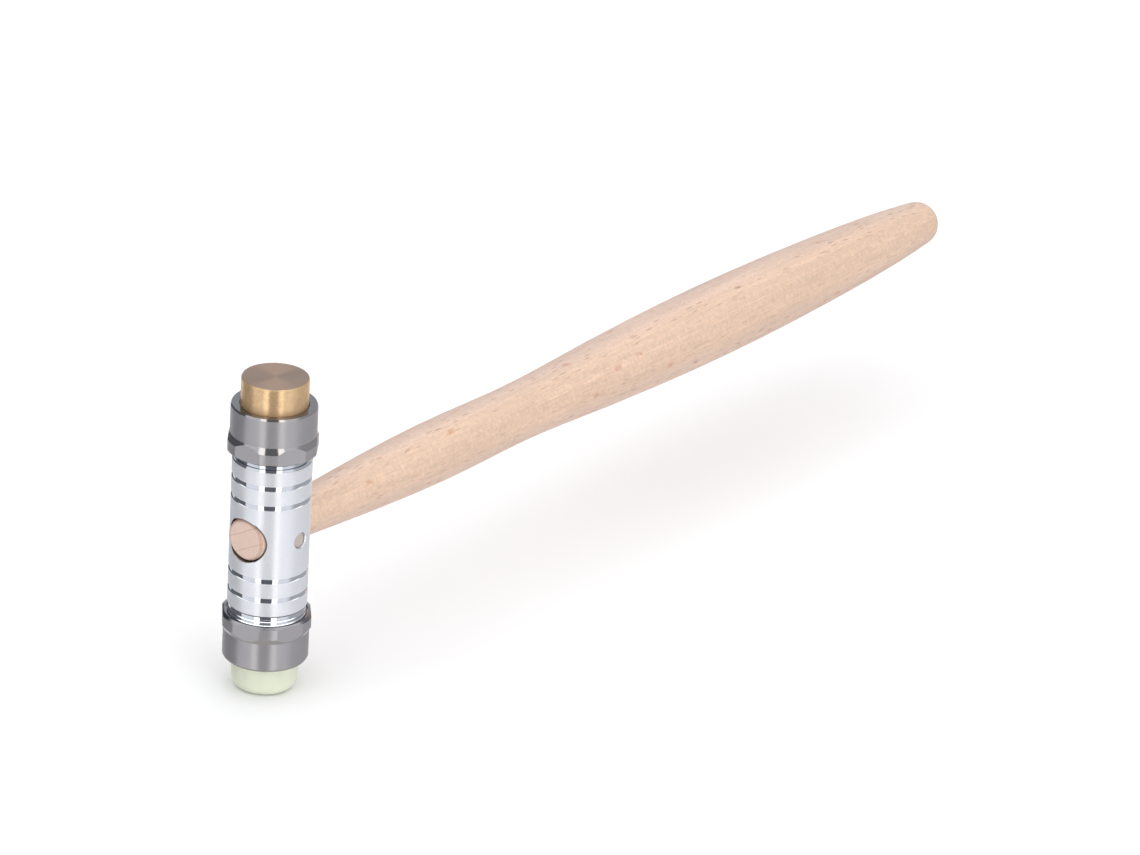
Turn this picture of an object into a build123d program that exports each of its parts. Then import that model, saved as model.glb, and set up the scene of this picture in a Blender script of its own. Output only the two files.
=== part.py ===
from build123d import *
import os

# A small double-faced hammer: a turned steel head with a brass tip above and a nylon tip below, each held by
# a screwed collar nut, on a turned beech handle that is cross-pinned in the head.
#
# Frame: +Z up along the head towards the brass face, +X along the handle towards its butt, origin at the
# centre of the nylon striking face. Lengths are in millimetres, angles in degrees.

# Head body: a bar with a threaded spigot at each end
HEAD_R = 10.0
HEAD_HALF = 20.0
HANDLE_AXIS_Z = 43.1
SHOULDER_CHAMFER = 0.45

# Decorative grooves, a pair above and a pair below the handle
GROOVE_HEIGHTS = (10.0, 15.25)
GROOVE_WIDTH = 1.3
GROOVE_FLOOR = 1.0
GROOVE_DEPTH = 0.25

# Spigot thread, drawn as rings one pitch apart
THREAD_CREST_R = 9.75
THREAD_ROOT_R = 9.3
THREAD_PITCH = 1.0
THREAD_ROOT_HALF_WIDTH = 0.37
UPPER_FIRST_ROOT = 20.67
LOWER_FIRST_ROOT = 20.97
SPIGOT_END = 29.3
SPIGOT_CHAMFER = 0.5

# Cross holes in the head and the dowel that holds the handle
THROUGH_LENGTH = 40.0
BORE_R = 5.8
BORE_EDGE = 0.16
DOWEL_R = 2.0
DOWEL_CLEARANCE = 0.03
DOWEL_HALF = 9.4
DOWEL_HOLE_EDGE = 0.16
DOWEL_END_CHAMFER = 0.25

# Striking tips, each with a flange under its collar nut
FLANGE_R = 9.5
BRASS_R = 8.45
BRASS_FLANGE = 2.5
BRASS_FACE_Z = 84.4
BRASS_EDGE = 0.2
BRASS_EDGE_HEIGHT = 0.4
NYLON_R = 8.4
NYLON_FLANGE = 2.7
NYLON_EDGE_R = 3.0
SEAT_GAP = 0.02

# Collar nuts
NUT_LENGTH = 12.4
NUT_BARREL_R = 10.8
NUT_ACROSS_FLATS = 22.0
NUT_CORNER_R = 11.6
NUT_FACE_R = 10.75
NUT_FACE_CHAMFER = 0.5
NUT_HEX_TOP = 3.2
NUT_CONE_TOP = 4.75
NUT_LIP = 2.5
NUT_THREAD_R = 9.85
NUT_ENTRY_CHAMFER = 0.45
NUT_APERTURE_R = 8.65
NUT_APERTURE_CHAMFER = 0.12
NUT_LIP_EDGE = 0.25
NUT_LIP_EDGE_HEIGHT = 0.5
UPPER_NUT_ANGLE = 35.3
LOWER_NUT_ANGLE = 42.6

# Handle, measured along X from the head's centre line
TENON_START_X = -9.6
TENON_START_R = 5.55
TENON_END_X = 12.0
TENON_END_R = 5.72
TENON_EDGE_R = 1.2
NECK_SLOPE = 0.055
SHOULDER_X = 40.0
SHOULDER_R = 7.24
SWELL_X = 70.0
SWELL_R = 7.95
WAIST_X = 98.0
WAIST_R = 7.62
FLARE_X = 124.5
FLARE_R = 8.62
BELLY_X = 186.0
BELLY_R = 10.15
TAPER_X = 236.0
TAPER_R = 9.1
BUTT_X = 280.0
BUTT_R = 6.2
BUTT_END_X = 284.5
BUTT_END_R = 1.7
BUTT_SLOPE = -0.11


def turned(outline):
    """Solid turned about Z from the (radius, height) corners of its half section."""
    corners = [(radius, 0, height) for radius, height in outline]
    return revolve(make_face(Polyline(*corners, close=True)), Axis.Z)


def spigot_outline(first_root):
    """(radius, height) corners of one spigot from its shoulder outwards, with its first thread root at a height."""
    corners = [(HEAD_R, HEAD_HALF - SHOULDER_CHAMFER), (THREAD_CREST_R, HEAD_HALF)]
    root = first_root
    while root + THREAD_ROOT_HALF_WIDTH < SPIGOT_END - SPIGOT_CHAMFER:
        corners.append((THREAD_CREST_R, root - THREAD_ROOT_HALF_WIDTH))
        corners.append((THREAD_ROOT_R, root))
        corners.append((THREAD_CREST_R, root + THREAD_ROOT_HALF_WIDTH))
        root += THREAD_PITCH
    return corners + [(THREAD_CREST_R, SPIGOT_END - SPIGOT_CHAMFER), (THREAD_CREST_R - SPIGOT_CHAMFER, SPIGOT_END)]


def head_body():
    """Grooved bar with both spigots, the handle bore along X and the dowel hole along Y."""
    upper = spigot_outline(UPPER_FIRST_ROOT)
    lower = [(radius, -height) for radius, height in reversed(spigot_outline(LOWER_FIRST_ROOT))]
    body = turned([(0, -SPIGOT_END)] + lower + upper + [(0, SPIGOT_END)])

    slope = (GROOVE_WIDTH - GROOVE_FLOOR) / 2 / GROOVE_DEPTH
    outer_half = GROOVE_WIDTH / 2 + slope * GROOVE_DEPTH
    groove = turned(
        [
            (HEAD_R - GROOVE_DEPTH, -GROOVE_FLOOR / 2),
            (HEAD_R + GROOVE_DEPTH, -outer_half),
            (HEAD_R + GROOVE_DEPTH, outer_half),
            (HEAD_R - GROOVE_DEPTH, GROOVE_FLOOR / 2),
        ]
    )
    for height in GROOVE_HEIGHTS:
        body -= Pos(0, 0, height) * groove
        body -= Pos(0, 0, -height) * groove

    body -= Rot(0, 90, 0) * Cylinder(BORE_R, THROUGH_LENGTH)
    bore_rims = [e for e in body.edges() if abs(e.center().X) > BORE_R and abs(e.center().Z) < BORE_EDGE]
    body = chamfer(bore_rims, BORE_EDGE)
    body -= Rot(90, 0, 0) * Cylinder(DOWEL_R + DOWEL_CLEARANCE, THROUGH_LENGTH)
    dowel_rims = [e for e in body.edges() if abs(e.center().Y) > DOWEL_HALF and abs(e.center().Z) < BORE_EDGE]
    body = chamfer(dowel_rims, DOWEL_HOLE_EDGE)
    return Pos(0, 0, HANDLE_AXIS_Z) * body


def collar_nut():
    """Collar nut with its spanner face at height 0, its thread bore open below and its lip at the top."""
    flange = turned(
        [
            (0, 0),
            (NUT_FACE_R, 0),
            (NUT_CORNER_R, NUT_FACE_CHAMFER),
            (NUT_CORNER_R, NUT_HEX_TOP),
            (NUT_BARREL_R, NUT_CONE_TOP),
            (0, NUT_CONE_TOP),
        ]
    )
    hexagon = RegularPolygon(radius=NUT_ACROSS_FLATS / 2, side_count=6, major_radius=False)
    flange &= extrude(hexagon, NUT_CONE_TOP)
    barrel = turned(
        [
            (0, 0),
            (NUT_FACE_R - NUT_ENTRY_CHAMFER / 2, 0),
            (NUT_BARREL_R, NUT_FACE_CHAMFER),
            (NUT_BARREL_R, NUT_LENGTH - NUT_LIP_EDGE_HEIGHT),
            (NUT_BARREL_R - NUT_LIP_EDGE, NUT_LENGTH),
            (0, NUT_LENGTH),
        ]
    )
    hollow = turned(
        [
            (0, 0),
            (NUT_THREAD_R + NUT_ENTRY_CHAMFER, 0),
            (NUT_THREAD_R, NUT_ENTRY_CHAMFER),
            (NUT_THREAD_R, NUT_LENGTH - NUT_LIP),
            (NUT_APERTURE_R, NUT_LENGTH - NUT_LIP),
            (NUT_APERTURE_R, NUT_LENGTH - NUT_APERTURE_CHAMFER),
            (NUT_APERTURE_R + NUT_APERTURE_CHAMFER, NUT_LENGTH),
            (0, NUT_LENGTH),
        ]
    )
    return flange + barrel - hollow


def upper_collar_nut():
    lip_top = SPIGOT_END + SEAT_GAP + BRASS_FLANGE + SEAT_GAP + NUT_LIP
    return Pos(0, 0, HANDLE_AXIS_Z + lip_top - NUT_LENGTH) * Rot(0, 0, UPPER_NUT_ANGLE) * collar_nut()


def lower_collar_nut():
    lip_bottom = SPIGOT_END + SEAT_GAP + NYLON_FLANGE + SEAT_GAP + NUT_LIP
    turn = Rot(0, 0, LOWER_NUT_ANGLE) * Rot(180, 0, 0)
    return Pos(0, 0, HANDLE_AXIS_Z - lip_bottom + NUT_LENGTH) * turn * collar_nut()


def brass_tip():
    seat = HANDLE_AXIS_Z + SPIGOT_END + SEAT_GAP
    return turned(
        [
            (0, seat),
            (FLANGE_R, seat),
            (FLANGE_R, seat + BRASS_FLANGE),
            (BRASS_R, seat + BRASS_FLANGE),
            (BRASS_R, BRASS_FACE_Z - BRASS_EDGE_HEIGHT),
            (BRASS_R - BRASS_EDGE, BRASS_FACE_Z),
            (0, BRASS_FACE_Z),
        ]
    )


def nylon_tip():
    seat = HANDLE_AXIS_Z - SPIGOT_END - SEAT_GAP
    tip = turned(
        [
            (0, 0),
            (NYLON_R, 0),
            (NYLON_R, seat - NYLON_FLANGE),
            (FLANGE_R, seat - NYLON_FLANGE),
            (FLANGE_R, seat),
            (0, seat),
        ]
    )
    return fillet(tip.edges().group_by(Axis.Z)[0], NYLON_EDGE_R)


def handle():
    """Beech handle turned about X, with the dowel hole through its tenon."""
    tenon = Line((TENON_START_X, TENON_START_R), (TENON_END_X, TENON_END_R))
    grip = Spline(
        (TENON_END_X, TENON_END_R),
        (SHOULDER_X, SHOULDER_R),
        (SWELL_X, SWELL_R),
        (WAIST_X, WAIST_R),
        (FLARE_X, FLARE_R),
        (BELLY_X, BELLY_R),
        (TAPER_X, TAPER_R),
        (BUTT_X, BUTT_R),
        tangents=[(1, NECK_SLOPE), (1, BUTT_SLOPE)],
        tangent_scalars=[1, 1],
    )
    butt = TangentArc((BUTT_X, BUTT_R), (BUTT_END_X, BUTT_END_R), tangent=(1, BUTT_SLOPE))
    ends = Polyline((BUTT_END_X, BUTT_END_R), (BUTT_END_X, 0), (TENON_START_X, 0), (TENON_START_X, TENON_START_R))
    wood = revolve(make_face([tenon, grip, butt, ends]), Axis.X)
    wood = fillet(wood.edges().group_by(Axis.X)[0], TENON_EDGE_R)
    wood -= Rot(90, 0, 0) * Cylinder(DOWEL_R + DOWEL_CLEARANCE, THROUGH_LENGTH)
    return Pos(0, 0, HANDLE_AXIS_Z) * wood


def cross_pin():
    """Steel dowel along Y, its chamfered ends a little below the head's surface."""
    dowel = turned(
        [
            (0, -DOWEL_HALF),
            (DOWEL_R - DOWEL_END_CHAMFER, -DOWEL_HALF),
            (DOWEL_R, -DOWEL_HALF + DOWEL_END_CHAMFER),
            (DOWEL_R, DOWEL_HALF - DOWEL_END_CHAMFER),
            (DOWEL_R - DOWEL_END_CHAMFER, DOWEL_HALF),
            (0, DOWEL_HALF),
        ]
    )
    return Pos(0, 0, HANDLE_AXIS_Z) * Rot(90, 0, 0) * dowel


NODES = {
    "head_body": head_body,
    "handle": handle,
    "cross_pin": cross_pin,
    "brass_tip": brass_tip,
    "upper_collar_nut": upper_collar_nut,
    "nylon_tip": nylon_tip,
    "lower_collar_nut": lower_collar_nut,
}

os.makedirs("parts", exist_ok=True)
for node, make in NODES.items():
    export_step(make(), f"parts/{node}.step")
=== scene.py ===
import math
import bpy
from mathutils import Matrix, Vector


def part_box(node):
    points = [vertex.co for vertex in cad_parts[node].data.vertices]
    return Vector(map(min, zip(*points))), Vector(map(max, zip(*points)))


bl_info = {
    "name": "Double-faced bench hammer",
    "version": (1, 0, 0),
    "blender": (4, 5, 0),
    "location": "3D View > Sidebar > Hammer",
    "description": "Finishes a small hammer with brass and nylon tips, collar nuts and a beech handle",
    "category": "Object",
}

import bpy
from bpy.props import FloatProperty, FloatVectorProperty, PointerProperty
from bpy.types import Operator, Panel, PropertyGroup
from mathutils import Matrix, Vector

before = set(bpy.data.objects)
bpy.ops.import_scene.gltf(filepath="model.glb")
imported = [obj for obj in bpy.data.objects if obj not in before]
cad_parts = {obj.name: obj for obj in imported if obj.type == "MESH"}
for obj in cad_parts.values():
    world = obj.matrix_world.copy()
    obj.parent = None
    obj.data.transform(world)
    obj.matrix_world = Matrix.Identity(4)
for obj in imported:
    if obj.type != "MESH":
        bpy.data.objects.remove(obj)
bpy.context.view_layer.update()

MM = 0.001
HEAD_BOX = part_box("head_body")
HEAD_MIDDLE = (HEAD_BOX[0] + HEAD_BOX[1]) / 2
HEAD_RADIUS = (HEAD_BOX[1].x - HEAD_BOX[0].x) / 2
BRASS_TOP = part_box("brass_tip")[1].z / MM

# limits for the finishes, in mm; a pair runs from where a finish is absent to where it is full
GROOVE_DEPTH = (0.02, 0.06)
BORE_WALL = (6.05, 5.95)
BORE_LENGTH = (9.6, 9.4)
BRASS_FACE = (0.06, 0.02)
TARNISH_BELOW_FACE = (7.0, 3.0)
# limits by how far a surface tilts towards an axis: 0 stands along it, 1 looks along it
CUT_TILT = (0.15, 0.25)
END_TILT = (0.5, 0.9)
END_GRAIN_TILT = (0.30, 0.60)
RIM_TILT = (0.99, 0.85)
# studio directions in degrees round from the camera's usual azimuth, below 0 on its left
SHADE_RIGHT = (70, 156)
GAP_LEFT = (-132, -76)
GAP_BEHIND_LEFT = (-160, -131)
# studio heights as sines of the elevation
GAP_BEHIND_LEFT_FROM = (-0.25, -0.15)
CEILING_FROM = (0.62, 0.80)
GROUND_FROM = (-0.62, -0.80)


# ---------------------------------------------------------------- settings


def colour_setting(name, description, default):
    return FloatVectorProperty(
        name=name, description=description, subtype="COLOR", size=3, min=0, max=1, default=default
    )


def factor_setting(name, description, default):
    return FloatProperty(name=name, description=description, subtype="FACTOR", min=0, max=1, default=default)


def level_setting(name, description, default):
    return FloatProperty(name=name, description=description, min=0, default=default)


def length_setting(name, description, default):
    return FloatProperty(
        name=name, description=description, unit="LENGTH", precision=5, min=0, default=default
    )


def angle_setting(name, description, default):
    return FloatProperty(name=name, description=description, subtype="ANGLE", default=math.radians(default))


class HeadSettings(PropertyGroup):
    land_colour: colour_setting("Plating", "Bright plating on the bar", (0.93, 0.945, 0.98))
    land_roughness: factor_setting("Land roughness", "Satin finish of the bar", 0.45)
    land_metal: factor_setting(
        "Land metal", "Share of the bar's sheen that is metallic; the rest is a soft white haze", 0.5
    )
    wear: factor_setting("Wear", "Strength of the small pits and scratches", 0.6)
    wear_colour: colour_setting("Wear colour", "Dirt in the pits and scratches", (0.25, 0.25, 0.27))
    # painted shade: a dark brown colour for the wall inside the handle's bore
    bore_shade_colour: colour_setting("Bore", "Painted shade on the wall of the handle's bore", (0.13, 0.09, 0.08))
    groove_roughness: factor_setting("Groove roughness", "Polished finish of the grooves and threads", 0.06)


class CollarSettings(PropertyGroup):
    steel_colour: colour_setting("Steel", "Bare turned steel of the collar nuts", (0.48, 0.46, 0.47))
    roughness: factor_setting("Roughness", "Fine turned finish of the collar nuts", 0.37)
    steel_metal: factor_setting("Steel metal", "Share of the turned steel's sheen that is metallic", 0.63)
    speck_colour: colour_setting("Specks", "Bright specks in the turned steel", (0.62, 0.60, 0.59))
    cut_colour: colour_setting(
        "Cut steel", "Smoother cut cones and chamfers of the nuts", (0.60, 0.575, 0.56)
    )
    # painted shade: a darker steel for the faces that look along the axis
    end_colour: colour_setting("End steel", "Darker end faces of the nuts", (0.27, 0.27, 0.29))
    cut_roughness: factor_setting("Cut roughness", "Finish of the cones, chamfers and ends", 0.14)
    pin_colour: colour_setting("Pin colour", "Ground end of the cross pin", (0.65, 0.58, 0.515))


class TipSettings(PropertyGroup):
    brass_colour: colour_setting("Brass side", "Turned side of the brass tip", (0.95, 0.65, 0.36))
    brass_metal: factor_setting("Brass metal", "Share of the brass's sheen that is metallic", 0.64)
    face_colour: colour_setting("Brass face", "Struck and handled face of the brass tip", (0.37, 0.265, 0.20))
    stain_colour: colour_setting("Brass stain", "Tarnish spots on the brass", (0.44, 0.26, 0.12))
    stain: factor_setting("Stain", "Strength of the tarnish spots", 0.6)
    nylon_colour: colour_setting("Nylon", "Natural nylon", (0.80, 0.83, 0.665))


class HandleSettings(PropertyGroup):
    wood_colour: colour_setting("Wood", "Pale beech where the rays lie flat", (0.735, 0.53, 0.395))
    tangent_colour: colour_setting(
        "Wood across the rays", "Pale beech where the rays are cut end on", (0.69, 0.515, 0.425)
    )
    end_colour: colour_setting("End grain", "Sawn end of the handle", (0.76, 0.56, 0.465))
    grain_colour: colour_setting("Grain", "Darker lines along the grain", (0.60, 0.42, 0.315))
    ray_colour: colour_setting("Ray", "Short dashes where rays are cut end on", (0.36, 0.20, 0.15))
    ray_strength: factor_setting("Ray strength", "Contrast of the ray dashes", 0.85)
    ray_length: length_setting("Ray length", "Spacing of the ray dashes along the grain", 5.0 * MM)
    ray_gap: length_setting("Ray gap", "Spacing of the ray dashes across the grain", 0.38 * MM)
    fleck_colour: colour_setting("Fleck", "Reddish flecks", (0.56, 0.27, 0.16))
    fleck_strength: factor_setting("Fleck strength", "Contrast of the reddish flecks", 0.6)
    ring_spacing: length_setting("Ring spacing", "Distance between growth rings", 4.4 * MM)
    ring_angle: angle_setting("Ring angle", "Slope of the growth rings across the handle", 28.8)
    ring_offset: length_setting(
        "Ring offset", "Distance of the growth rings above the handle's axis", 1.0 * MM
    )


class StudioSettings(PropertyGroup):
    floor_colour: colour_setting("Floor", "Plain pale floor", (0.97, 0.97, 0.97))
    floor_width: length_setting("Floor width", "Side of the floor", 12.0)
    light: level_setting("Light", "Brightness of the soft studio light", 1.52)
    softbox_level: level_setting("Softboxes", "Brightness of the two tall softboxes", 1.0)
    side_level: level_setting("Sides", "Brightness of the studio beside the softboxes", 0.46)
    ceiling_level: level_setting("Ceiling", "Brightness of the studio high up", 1.1)
    ground_level: level_setting("Ground", "Brightness of the studio low down", 0.32)
    gap_level: level_setting("Gaps", "Brightness of the dark gaps in the studio", 0.07)
    gap_half: angle_setting("Half gap", "Half the dark gap between the softboxes", 17.0)
    softbox_width: angle_setting("Softbox width", "Angle that each softbox covers", 16.0)
    top_size: length_setting("Top light size", "Side of the soft light overhead", 4.0)
    top_height: length_setting("Top light height", "Height of the soft light overhead", 2.2)
    top_power: level_setting("Top light power", "Power of the soft light overhead, in watts", 4.0)
    fill_size: length_setting("Fill light size", "Side of the low soft light in front", 0.7)
    fill_height: length_setting("Fill light height", "Height of the low soft light", 0.37)
    fill_distance: length_setting("Fill light distance", "From the head to the low soft light", 1.6)
    fill_turn: angle_setting(
        "Fill light turn", "Angle from the camera round to the low soft light, on its right", 45.0
    )
    fill_power: level_setting("Fill light power", "Power of the low soft light, in watts", 4.3)
    azimuth: angle_setting("Azimuth", "Direction of the camera round the hammer", -53.37)
    elevation: angle_setting("Elevation", "Height of the camera above the horizon", 24.435)
    roll: angle_setting("Roll", "Turn of the camera about its own axis", 3.489)
    distance: length_setting("Distance", "From the aim point to the camera", 1.5811)
    lens: FloatProperty(name="Lens", description="Focal length in millimetres", min=1, default=189.47)
    aim_along: length_setting("Aim along", "Aim point along the handle", 0.1219)
    aim_below: length_setting("Aim below", "Aim point below the handle's axis", 0.01205)


# ---------------------------------------------------------------- material tools


class Nodes:
    """A node tree under construction, with short calls for the nodes that the finishes share."""

    def __init__(self, tree):
        self.tree = tree

    def new(self, kind):
        return self.tree.nodes.new(kind)

    def feed(self, socket, value):
        """Links a socket, or sets a plain value."""
        if isinstance(value, bpy.types.NodeSocket):
            self.tree.links.new(value, socket)
        else:
            socket.default_value = value

    def math(self, operation, a, b=0.0, c=0.0):
        n = self.new("ShaderNodeMath")
        n.operation = operation
        for socket, value in zip(n.inputs, (a, b, c)):
            self.feed(socket, value)
        return n.outputs[0]

    def length(self, x, y, z):
        n = self.new("ShaderNodeVectorMath")
        n.operation = "LENGTH"
        self.feed(n.inputs[0], self.join(x, y, z))
        return n.outputs["Value"]

    def scaled(self, x, by_x, y, by_y, z, by_z):
        """A place made of three values, each times its own scale."""
        parts = ((x, by_x), (y, by_y), (z, by_z))
        return self.join(*(self.math("MULTIPLY", value, scale) for value, scale in parts))

    def shade(self, colour, value, amount):
        """Darkens and lightens a colour by amount as value runs from 0 to 1."""
        level = self.spread(value, 1 - amount, 1 + amount)
        return self.mix(1.0, colour, self.join(level, level, level), "MULTIPLY")

    def split(self, vector):
        n = self.new("ShaderNodeSeparateXYZ")
        self.feed(n.inputs[0], vector)
        return n.outputs

    def join(self, x, y, z):
        n = self.new("ShaderNodeCombineXYZ")
        for socket, value in zip(n.inputs, (x, y, z)):
            self.feed(socket, value)
        return n.outputs[0]

    def step(self, value, low, high):
        """0 below low, 1 above high, smooth between; high below low turns it round."""
        n = self.new("ShaderNodeMapRange")
        n.interpolation_type = "SMOOTHSTEP"
        self.feed(n.inputs["Value"], value)
        n.inputs["From Min"].default_value = min(low, high)
        n.inputs["From Max"].default_value = max(low, high)
        n.inputs["To Min"].default_value = 0.0 if low < high else 1.0
        n.inputs["To Max"].default_value = 1.0 if low < high else 0.0
        return n.outputs[0]

    def spread(self, value, low, high):
        """Maps 0 to 1 on to low to high."""
        return self.math("MULTIPLY_ADD", value, high - low, low)

    def noise(self, vector, scale, detail, roughness, seed):
        n = self.new("ShaderNodeTexNoise")
        n.noise_dimensions = "4D"
        self.feed(n.inputs["Vector"], vector)
        n.inputs["W"].default_value = seed
        n.inputs["Scale"].default_value = scale
        n.inputs["Detail"].default_value = detail
        n.inputs["Roughness"].default_value = roughness
        return n.outputs[0]

    def cells(self, vector):
        """Scattered cells; gives the distance to each cell's middle and its own random colour."""
        n = self.new("ShaderNodeTexVoronoi")
        self.feed(n.inputs["Vector"], vector)
        n.inputs["Scale"].default_value = 1.0
        return n.outputs["Distance"], self.split(n.outputs["Color"])

    def blend(self, factor, a, b):
        """a where factor is 0, b where it is 1."""
        n = self.new("ShaderNodeMix")
        self.feed(n.inputs[0], factor)
        self.feed(n.inputs[2], a)
        self.feed(n.inputs[3], b)
        return n.outputs[0]

    def mix(self, factor, a, b, blend="MIX"):
        n = self.new("ShaderNodeMix")
        n.data_type = "RGBA"
        n.blend_type = blend
        self.feed(n.inputs["Factor"], factor)
        for socket, value in ((n.inputs[6], a), (n.inputs[7], b)):
            plain = not isinstance(value, bpy.types.NodeSocket)
            self.feed(socket, (*value, 1.0) if plain else value)
        return n.outputs[2]

    def bump(self, height, depth, strength):
        n = self.new("ShaderNodeBump")
        n.inputs["Strength"].default_value = strength
        n.inputs["Distance"].default_value = depth
        self.feed(n.inputs["Height"], height)
        return n.outputs[0]


class Finish(Nodes):
    """A material on the main surface shader, placed by the piece's own coordinates in mm."""

    def __init__(self, name):
        self.material = bpy.data.materials.new(name)
        self.material.use_nodes = True
        super().__init__(self.material.node_tree)
        self.shader = self.tree.nodes["Principled BSDF"]
        scale = self.new("ShaderNodeVectorMath")
        scale.operation = "SCALE"
        scale.inputs[3].default_value = 1 / MM
        self.feed(scale.inputs[0], self.new("ShaderNodeTexCoord").outputs["Object"])
        self.mm = scale.outputs["Vector"]

    def set(self, **inputs):
        """Sets or links inputs of the main shader, named with underscores."""
        for name, value in inputs.items():
            if name == "Base_Color" and not isinstance(value, bpy.types.NodeSocket):
                value = (*value, 1.0)
            self.feed(self.shader.inputs[name.replace("_", " ")], value)

    def turned_about(self, axis):
        """Reflections streak across the tool marks of a piece turned about an axis."""
        n = self.new("ShaderNodeTangent")
        n.direction_type = "RADIAL"
        n.axis = axis
        self.feed(self.shader.inputs["Tangent"], n.outputs[0])
        self.shader.inputs["Anisotropic Rotation"].default_value = 0.25

    def apply(self, node):
        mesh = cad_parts[node].data
        mesh.materials.clear()
        mesh.materials.append(self.material)


def radius_about_head(f):
    x, y, _ = f.split(f.mm)
    return f.length(x, y, 0.0)


def tool_marks(f, radius, z, across, along, detail, roughness, seed):
    """Fine rings left by turning: across is their rate on the end faces, along on the sides."""
    place = f.join(f.math("MULTIPLY", radius, across), 0.0, f.math("MULTIPLY", z, along))
    return f.noise(place, 1.0, detail, roughness, seed)


def tilt_towards(f, axis):
    """How far the surface looks along an axis, 0 for x and 2 for z, either way."""
    return f.math("ABSOLUTE", f.split(f.new("ShaderNodeNewGeometry").outputs["True Normal"])[axis])


def tinted(colour, level):
    return tuple(part * level for part in colour)


# ---------------------------------------------------------------- finishes


def satin_chrome(s):
    f = Finish("satin_chrome")
    radius = radius_about_head(f)
    x, y, z = f.split(f.mm)
    up = f.math("SUBTRACT", z, HEAD_MIDDLE.z / MM)
    polished = f.step(radius, *(HEAD_RADIUS / MM - depth for depth in GROOVE_DEPTH))
    # the wall of the handle's bore, where dark shade is painted
    bore = f.step(f.length(0.0, y, up), *BORE_WALL)
    bore = f.math("MULTIPLY", bore, f.step(f.math("ABSOLUTE", x), *BORE_LENGTH))
    clouds = f.noise(f.mm, 0.35, 4, 0.6, seed=1.0)
    rings = tool_marks(f, radius, z, 3.0, 9.0, 3, 0.7, seed=2.0)
    grit = f.noise(f.mm, 14.0, 2, 0.6, seed=3.0)
    satin = f.math("MULTIPLY_ADD", clouds, 0.10, s.land_roughness - 0.05)
    satin = f.math("MULTIPLY_ADD", grit, 0.05, satin)
    rough = f.blend(polished, satin, s.groove_roughness)
    # small pits and a few short ticks from use, gathered in patches
    distance, chance = f.cells(f.scaled(x, 0.42, y, 0.42, z, 0.42))
    pit = f.math("MULTIPLY", f.step(distance, 0.075, 0.03), f.step(chance[0], 0.60, 0.64))
    distance, chance = f.cells(f.scaled(x, 0.50, y, 0.50, z, 1.7))
    tick = f.math("MULTIPLY", f.step(distance, 0.15, 0.08), f.step(chance[1], 0.72, 0.76))
    tick = f.math("MULTIPLY", tick, f.step(f.noise(f.mm, 0.16, 2, 0.5, seed=27.0), 0.50, 0.58))
    wear = f.math("MAXIMUM", pit, f.math("MULTIPLY", tick, 0.7))
    wear = f.math("MULTIPLY", wear, f.math("SUBTRACT", 1.0, polished))
    colour = f.shade(s.land_colour, f.noise(f.mm, 2.6, 4, 0.7, seed=28.0), 0.07)
    # painted shade: the bore's wall takes a dark brown colour and, below, loses its metallic sheen
    colour = f.mix(bore, colour, s.bore_shade_colour)
    colour = f.mix(f.math("MULTIPLY", wear, s.wear), colour, s.wear_colour)
    height = f.math("MULTIPLY", f.math("MULTIPLY_ADD", grit, 0.6, rings), f.blend(polished, 1.0, 0.15))
    height = f.math("SUBTRACT", height, wear)
    metal = f.math("MULTIPLY", f.blend(polished, s.land_metal, 1.0), f.math("SUBTRACT", 1.0, bore))
    f.set(
        Base_Color=colour,
        Metallic=metal,
        Roughness=rough,
        Anisotropic=1.0,
        Normal=f.bump(height, 0.008 * MM, 0.4),
    )
    f.turned_about("Z")
    return f


def turned_steel(s):
    f = Finish("turned_steel")
    z = f.split(f.mm)[2]
    rings = tool_marks(f, radius_about_head(f), z, 3.0, 7.0, 4, 0.7, seed=4.0)
    clouds = f.noise(f.mm, 0.3, 3, 0.6, seed=5.0)
    grit = f.noise(f.mm, 9.0, 3, 0.7, seed=6.0)
    specks = f.step(f.noise(f.mm, 2.2, 2, 0.5, seed=7.0), 0.68, 0.76)
    # cones and chamfers are cut smoother than the barrel and flats; faces that look along the axis, and the
    # chamfers in part, get a darker colour as painted shade that dims their reflections
    tilt = tilt_towards(f, 2)
    smooth = f.step(tilt, *CUT_TILT)
    ends = f.step(tilt, *END_TILT)
    base = f.mix(f.spread(clouds, 0.2, 0.8), tinted(s.steel_colour, 0.92), tinted(s.steel_colour, 1.08))
    base = f.mix(f.math("MULTIPLY", specks, 0.25), base, s.speck_colour)
    base = f.mix(smooth, base, s.cut_colour)
    # painted shade on the end faces and chamfers
    base = f.mix(ends, base, s.end_colour)
    rough = f.math("MULTIPLY_ADD", clouds, 0.12, s.roughness - 0.06)
    rough = f.math("MULTIPLY_ADD", grit, 0.08, rough)
    rough = f.blend(smooth, rough, s.cut_roughness)
    height = f.math("MULTIPLY", f.math("MULTIPLY_ADD", grit, 0.5, rings), f.blend(smooth, 1.0, 0.25))
    f.set(
        Base_Color=base,
        Metallic=f.blend(smooth, s.steel_metal, 1.0),
        Roughness=rough,
        Anisotropic=0.95,
        Normal=f.bump(height, 0.012 * MM, 0.5),
    )
    f.turned_about("Z")
    return f


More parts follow.
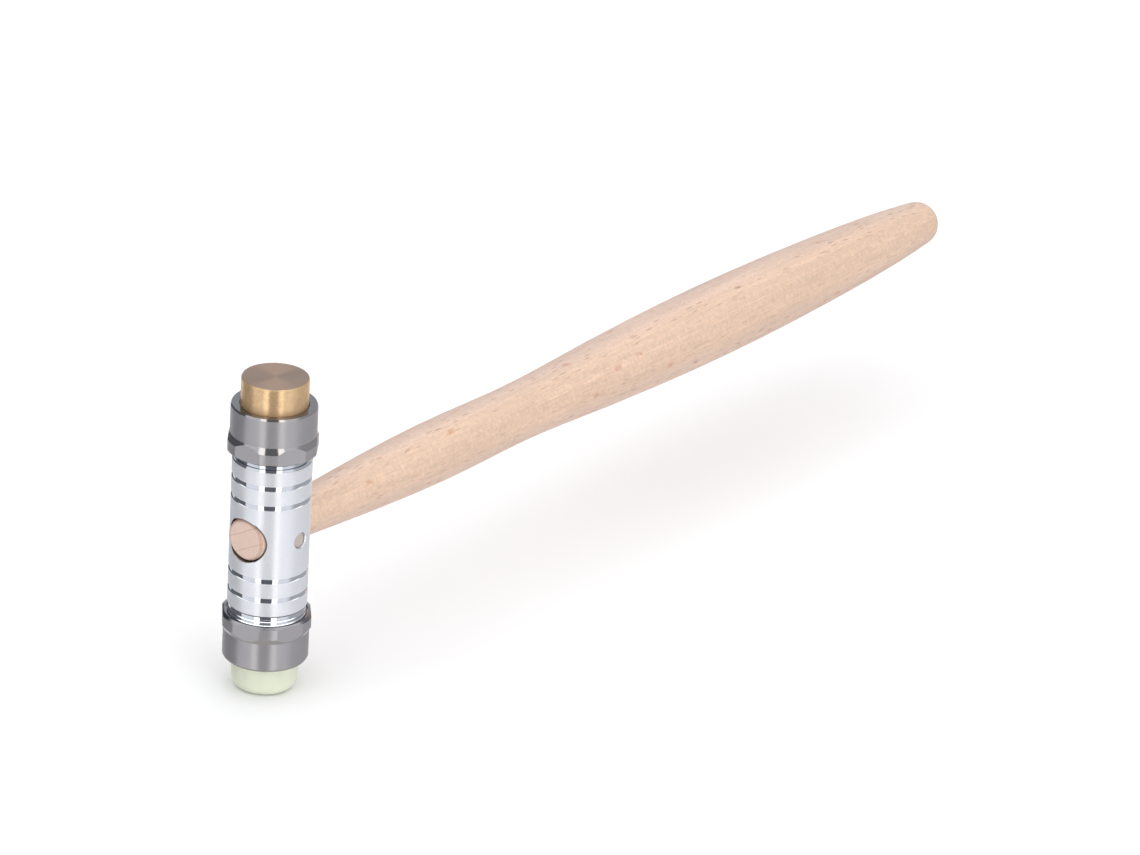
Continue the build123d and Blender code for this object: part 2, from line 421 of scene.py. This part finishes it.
def turned_brass(s):
    f = Finish("turned_brass")
    z = f.split(f.mm)[2]
    face = f.step(z, *(BRASS_TOP - depth for depth in BRASS_FACE))
    rings = tool_marks(f, radius_about_head(f), z, 6.0, 6.0, 4, 0.7, seed=8.0)
    clouds = f.noise(f.mm, 0.45, 4, 0.6, seed=9.0)
    grit = f.noise(f.mm, 8.0, 3, 0.6, seed=11.0)
    # tarnish gathers in patches of small spots towards the struck end
    patches = f.step(f.noise(f.mm, 0.22, 2, 0.5, seed=22.0), 0.40, 0.56)
    struck_end = f.step(z, *(BRASS_TOP - depth for depth in TARNISH_BELOW_FACE))
    patches = f.math("MULTIPLY", patches, struck_end)
    spots = f.step(f.noise(f.mm, 3.0, 3, 0.6, seed=10.0), 0.42, 0.74)
    stain = f.math("MULTIPLY", f.math("MULTIPLY", spots, patches), s.stain)
    side = f.mix(f.step(clouds, 0.35, 0.75), s.brass_colour, tinted(s.brass_colour, 0.86))
    side = f.mix(stain, side, s.stain_colour)
    dull = f.mix(f.spread(clouds, 0.0, 0.8), s.face_colour, tinted(s.face_colour, 0.84))
    rough = f.math("MULTIPLY_ADD", clouds, 0.10, 0.25)
    rough = f.math("MULTIPLY_ADD", stain, 0.06, rough)
    rough = f.math("MULTIPLY_ADD", face, 0.12, rough)
    height = f.math("MULTIPLY_ADD", grit, 0.3, rings)
    height = f.math("SUBTRACT", height, f.math("MULTIPLY", stain, 0.3))
    f.set(
        Base_Color=f.mix(face, side, dull),
        Metallic=f.blend(face, s.brass_metal, 0.6),
        Roughness=rough,
        Anisotropic=0.8,
        Normal=f.bump(height, 0.012 * MM, 0.5),
    )
    f.turned_about("Z")
    return f


def natural_nylon(s):
    f = Finish("natural_nylon")
    clouds = f.noise(f.mm, 0.35, 3, 0.5, seed=12.0)
    rings = tool_marks(f, radius_about_head(f), f.split(f.mm)[2], 4.0, 4.0, 3, 0.6, seed=13.0)
    grit = f.noise(f.mm, 6.0, 2, 0.5, seed=14.0)
    f.set(
        Base_Color=f.mix(clouds, tinted(s.nylon_colour, 0.95), tinted(s.nylon_colour, 1.04)),
        Roughness=f.math("MULTIPLY_ADD", grit, 0.12, 0.36),
        Subsurface_Weight=0.35,
        Subsurface_Radius=(1.0, 1.0, 0.7),
        Subsurface_Scale=1.6 * MM,
        IOR=1.53,
        Normal=f.bump(f.math("MULTIPLY_ADD", grit, 0.3, rings), 0.015 * MM, 0.5),
    )
    return f


def beech(s):
    f = Finish("beech")
    x, y, z = f.split(f.mm)
    up = f.math("SUBTRACT", z, HEAD_MIDDLE.z / MM)
    # across runs square to the growth rings and along the rays, beside runs along the rings
    c, n = math.cos(s.ring_angle), math.sin(s.ring_angle)
    across = f.math("ADD", f.math("MULTIPLY", y, n), f.math("MULTIPLY", up, c))
    beside = f.math("SUBTRACT", f.math("MULTIPLY", y, c), f.math("MULTIPLY", up, n))
    round_axis = f.math("MAXIMUM", f.length(0.0, y, up), 0.5)
    tangent = f.math("ABSOLUTE", f.math("DIVIDE", across, round_axis))
    rays_end_on = f.step(tangent, 0.15, 0.70)
    drift = f.noise(f.scaled(x, 0.012, across, 0.08, beside, 0.05), 1.0, 2, 0.5, seed=15.0)
    rings_at = f.math("MULTIPLY_ADD", drift, 2.0, f.math("SUBTRACT", across, s.ring_offset / MM))
    phase = f.math("FRACT", f.math("DIVIDE", rings_at, s.ring_spacing / MM))
    ring_line = f.step(f.math("ABSOLUTE", f.math("SUBTRACT", phase, 0.5)), 0.035, 0.012)
    late = f.step(phase, 0.15, 0.5)
    # long grain
    fibre = f.noise(f.scaled(x, 0.07, rings_at, 2.8, beside, 2.8), 1.0, 5, 0.65, seed=16.0)
    bands = f.noise(f.scaled(x, 0.015, rings_at, 0.35, beside, 0.35), 1.0, 3, 0.5, seed=17.0)
    mottle = f.noise(f.scaled(x, 0.9, across, 1.1, beside, 1.6), 1.0, 3, 0.6, seed=23.0)
    wood = f.mix(f.step(tangent, 0.45, 1.0), s.wood_colour, s.tangent_colour)
    flake = f.noise(f.scaled(x, 1.3, across, 0.45, beside, 1.2), 1.0, 3, 0.6, seed=25.0)
    flake = f.blend(rays_end_on, flake, 0.5)
    wood = f.shade(wood, bands, 0.16)
    wood = f.shade(wood, fibre, 0.36)
    wood = f.shade(wood, mottle, 0.20)
    wood = f.shade(wood, flake, 0.20)
    grain = f.math("MULTIPLY", f.math("MULTIPLY", late, f.step(fibre, 0.40, 0.62)), 0.22)
    wood = f.mix(grain, wood, s.grain_colour)
    # rays: thin ribbons that show as short dashes where they are cut end on
    ray_at = f.scaled(x, MM / s.ray_length, across, 0.14, beside, MM / s.ray_gap)
    distance, (picked, depth, _) = f.cells(ray_at)
    ray = f.math("MULTIPLY", f.step(distance, 0.36, 0.16), f.step(picked, 0.34, 0.40))
    ray_level = f.math("MULTIPLY", f.spread(depth, 0.2, 1.0), f.spread(rays_end_on, 0.10, s.ray_strength))
    ray = f.math("MULTIPLY", ray, ray_level)
    wood = f.mix(ray, wood, s.ray_colour)
    # a few reddish flecks
    distance, chance = f.cells(f.scaled(x, 0.09, y, 0.20, up, 0.20))
    shape = f.math("ADD", distance, f.math("MULTIPLY", f.math("SUBTRACT", mottle, 0.5), 0.22))
    fleck = f.math("MULTIPLY", f.step(shape, 0.19, 0.05), f.step(chance[0], 0.42, 0.47))
    wood = f.mix(f.math("MULTIPLY", fleck, s.fleck_strength), wood, s.fleck_colour)
    # end grain shows on the faces that look along the handle
    facing = tilt_towards(f, 0)
    end = f.step(facing, *END_GRAIN_TILT)
    rim = f.step(facing, *RIM_TILT)
    pores = f.noise(f.scaled(x, 0.2, across, 5.0, beside, 5.0), 1.0, 3, 0.7, seed=18.0)
    ray_ends = f.noise(f.scaled(x, 0.2, across, 0.5, beside, 6.0), 1.0, 2, 0.5, seed=24.0)
    end_wood = f.shade(s.end_colour, pores, 0.30)
    end_wood = f.shade(end_wood, ray_ends, 0.16)
    end_wood = f.mix(f.math("MULTIPLY", ring_line, 0.42), end_wood, s.ray_colour)
    end_wood = f.mix(f.math("MULTIPLY", rim, 0.50), end_wood, s.ray_colour)
    grit = f.noise(f.mm, 5.0, 3, 0.6, seed=19.0)
    rough = f.math("MULTIPLY_ADD", fibre, 0.14, 0.48)
    relief = f.math("SUBTRACT", f.math("MULTIPLY_ADD", grit, 0.25, fibre), f.math("MULTIPLY", ray, 0.8))
    f.set(
        Base_Color=f.mix(end, wood, end_wood),
        Roughness=rough,
        Subsurface_Weight=0.08,
        Subsurface_Radius=(1.0, 0.6, 0.4),
        Subsurface_Scale=0.8 * MM,
        Normal=f.bump(relief, 0.03 * MM, 0.5),
    )
    return f


def ground_steel(s):
    f = Finish("ground_steel")
    grit = f.noise(f.mm, 7.0, 4, 0.7, seed=20.0)
    clouds = f.noise(f.mm, 0.9, 3, 0.6, seed=21.0)
    f.set(
        Base_Color=f.mix(clouds, tinted(s.pin_colour, 0.9), tinted(s.pin_colour, 1.1)),
        Metallic=0.35,
        Roughness=f.math("MULTIPLY_ADD", grit, 0.15, 0.42),
        Normal=f.bump(grit, 0.02 * MM, 0.7),
    )
    return f


# ---------------------------------------------------------------- operators


class HAMMER_OT_head(Operator):
    """Gives the steel bar its satin chrome, polished grooves and threads"""

    bl_idname = "hammer.head"
    bl_label = "Head body"

    def execute(self, context):
        satin_chrome(context.scene.hammer_head).apply("head_body")
        return {"FINISHED"}


class HAMMER_OT_collars(Operator):
    """Gives both collar nuts their turned steel"""

    bl_idname = "hammer.collars"
    bl_label = "Collar nuts"

    def execute(self, context):
        steel = turned_steel(context.scene.hammer_collars)
        for node in ("upper_collar_nut", "lower_collar_nut"):
            steel.apply(node)
        return {"FINISHED"}


class HAMMER_OT_brass_tip(Operator):
    """Gives the brass tip its turned and tarnished finish"""

    bl_idname = "hammer.brass_tip"
    bl_label = "Brass tip"

    def execute(self, context):
        turned_brass(context.scene.hammer_tips).apply("brass_tip")
        return {"FINISHED"}


class HAMMER_OT_nylon_tip(Operator):
    """Gives the nylon tip its pale translucent finish"""

    bl_idname = "hammer.nylon_tip"
    bl_label = "Nylon tip"

    def execute(self, context):
        natural_nylon(context.scene.hammer_tips).apply("nylon_tip")
        return {"FINISHED"}


class HAMMER_OT_handle(Operator):
    """Gives the handle its beech grain, flecks and end grain"""

    bl_idname = "hammer.handle"
    bl_label = "Handle"

    def execute(self, context):
        beech(context.scene.hammer_handle).apply("handle")
        return {"FINISHED"}


class HAMMER_OT_cross_pin(Operator):
    """Gives the cross pin its ground steel"""

    bl_idname = "hammer.cross_pin"
    bl_label = "Cross pin"

    def execute(self, context):
        ground_steel(context.scene.hammer_collars).apply("cross_pin")
        return {"FINISHED"}


def lay_floor(s):
    half = s.floor_width / 2
    mesh = bpy.data.meshes.new("floor")
    corners = [(-half, -half, 0), (half, -half, 0), (half, half, 0), (-half, half, 0)]
    mesh.from_pydata(corners, [], [(0, 1, 2, 3)])
    floor = bpy.data.objects.new("floor", mesh)
    bpy.context.scene.collection.objects.link(floor)
    f = Finish("floor_paint")
    f.set(Base_Color=s.floor_colour, Roughness=0.9)
    mesh.materials.append(f.material)
    floor.visible_glossy = False


def light_studio(s):
    """Soft light all round, with two tall softboxes and dark gaps placed about the camera's usual azimuth."""
    world = bpy.data.worlds.new("studio")
    bpy.context.scene.world = world
    world.use_nodes = True
    world.cycles.sampling_method = "NONE"
    f = Nodes(world.node_tree)
    back = f.tree.nodes["Background"]
    x, y, z = f.split(f.new("ShaderNodeTexCoord").outputs["Generated"])
    toward_x, toward_y = math.sin(s.azimuth), -math.cos(s.azimuth)
    ahead = f.math("ADD", f.math("MULTIPLY", x, toward_x), f.math("MULTIPLY", y, toward_y))
    aside = f.math("SUBTRACT", f.math("MULTIPLY", y, toward_x), f.math("MULTIPLY", x, toward_y))
    # degrees round from the camera, below 0 on its left
    turn = f.math("DEGREES", f.math("ARCTAN2", aside, ahead))
    either = f.math("ABSOLUTE", turn)

    def between(value, low, high, soft):
        above = f.step(value, low - soft, low + soft)
        return f.math("MULTIPLY", above, f.step(value, high + soft, high - soft))

    gap = math.degrees(s.gap_half)
    box_end = gap + math.degrees(s.softbox_width)
    side = (s.side_level, s.side_level * 1.03, s.side_level * 1.1)
    dark = (s.gap_level, s.gap_level * 1.04, s.gap_level * 1.2)
    level = f.mix(between(turn, *SHADE_RIGHT, 10), side, tinted(side, 0.5))
    level = f.mix(between(turn, *GAP_LEFT, 2), level, dark)
    behind_left = f.math("MULTIPLY", between(turn, *GAP_BEHIND_LEFT, 2), f.step(z, *GAP_BEHIND_LEFT_FROM))
    level = f.mix(behind_left, level, dark)
    level = f.mix(f.step(either, gap + 1, gap - 1), level, dark)
    level = f.mix(between(either, gap, box_end, 1), level, (s.softbox_level,) * 3)
    level = f.mix(f.step(z, *CEILING_FROM), level, (s.ceiling_level,) * 3)
    level = f.mix(f.step(z, *GROUND_FROM), level, (s.ground_level,) * 3)
    f.feed(back.inputs["Color"], level)
    back.inputs["Strength"].default_value = s.light
    hang_light("top_light", s.top_size, s.top_power, Vector((0.0, 0.0, s.top_height)))
    round_to = s.azimuth + s.fill_turn
    place = Vector((math.sin(round_to), -math.cos(round_to), 0.0)) * s.fill_distance
    place.z = s.fill_height
    hang_light("fill_light", s.fill_size, s.fill_power, place)


def hang_light(name, size, power, place):
    """A soft square light aimed at the head, kept out of reflections."""
    light = bpy.data.lights.new(name, "AREA")
    light.shape = "SQUARE"
    light.size = size
    light.energy = power
    lamp = bpy.data.objects.new(name, light)
    lamp.location = place
    lamp.rotation_euler = (HEAD_MIDDLE - place).to_track_quat("-Z", "Y").to_euler()
    lamp.visible_glossy = False
    lamp.visible_camera = False
    bpy.context.scene.collection.objects.link(lamp)


def place_camera(s):
    data = bpy.data.cameras.new("camera")
    data.lens = s.lens
    data.sensor_width = 36.0
    data.clip_start = 0.05
    data.clip_end = 50.0
    camera = bpy.data.objects.new("camera", data)
    bpy.context.scene.collection.objects.link(camera)
    aim = Vector((s.aim_along, 0.0, HEAD_MIDDLE.z - s.aim_below))
    back = Vector(
        (
            math.sin(s.azimuth) * math.cos(s.elevation),
            -math.cos(s.azimuth) * math.cos(s.elevation),
            math.sin(s.elevation),
        )
    )
    turn = (-back).to_track_quat("-Z", "Y").to_matrix() @ Matrix.Rotation(s.roll, 3, "Z")
    camera.matrix_world = Matrix.Translation(aim + back * s.distance) @ turn.to_4x4()
    bpy.context.scene.camera = camera


class HAMMER_OT_stage(Operator):
    """Adds the floor, the studio light and the camera"""

    bl_idname = "hammer.stage"
    bl_label = "Stage"

    def execute(self, context):
        s = context.scene.hammer_studio
        lay_floor(s)
        light_studio(s)
        place_camera(s)
        context.scene.view_settings.view_transform = "Standard"
        return {"FINISHED"}


OPERATORS = (
    HAMMER_OT_head,
    HAMMER_OT_collars,
    HAMMER_OT_brass_tip,
    HAMMER_OT_nylon_tip,
    HAMMER_OT_handle,
    HAMMER_OT_cross_pin,
    HAMMER_OT_stage,
)
SETTINGS = {
    "hammer_head": HeadSettings,
    "hammer_collars": CollarSettings,
    "hammer_tips": TipSettings,
    "hammer_handle": HandleSettings,
    "hammer_studio": StudioSettings,
}


class HAMMER_PT_panel(Panel):
    """Lists the hammer's pieces and their settings"""

    bl_idname = "HAMMER_PT_panel"
    bl_label = "Hammer"
    bl_space_type = "VIEW_3D"
    bl_region_type = "UI"
    bl_category = "Hammer"

    def draw(self, context):
        for operator in OPERATORS:
            self.layout.operator(operator.bl_idname)
        for name, group in SETTINGS.items():
            box = self.layout.box()
            for setting in group.__annotations__:
                box.prop(getattr(context.scene, name), setting)


def register():
    for cls in (*SETTINGS.values(), *OPERATORS, HAMMER_PT_panel):
        bpy.utils.register_class(cls)
    for name, group in SETTINGS.items():
        setattr(bpy.types.Scene, name, PointerProperty(type=group))


def unregister():
    for name in SETTINGS:
        delattr(bpy.types.Scene, name)
    for cls in reversed((*SETTINGS.values(), *OPERATORS, HAMMER_PT_panel)):
        bpy.utils.unregister_class(cls)


def main():
    register()
    bpy.ops.hammer.head()
    bpy.ops.hammer.collars()
    bpy.ops.hammer.brass_tip()
    bpy.ops.hammer.nylon_tip()
    bpy.ops.hammer.handle()
    bpy.ops.hammer.cross_pin()
    bpy.ops.hammer.stage()


if __name__ == "__main__":
    main()
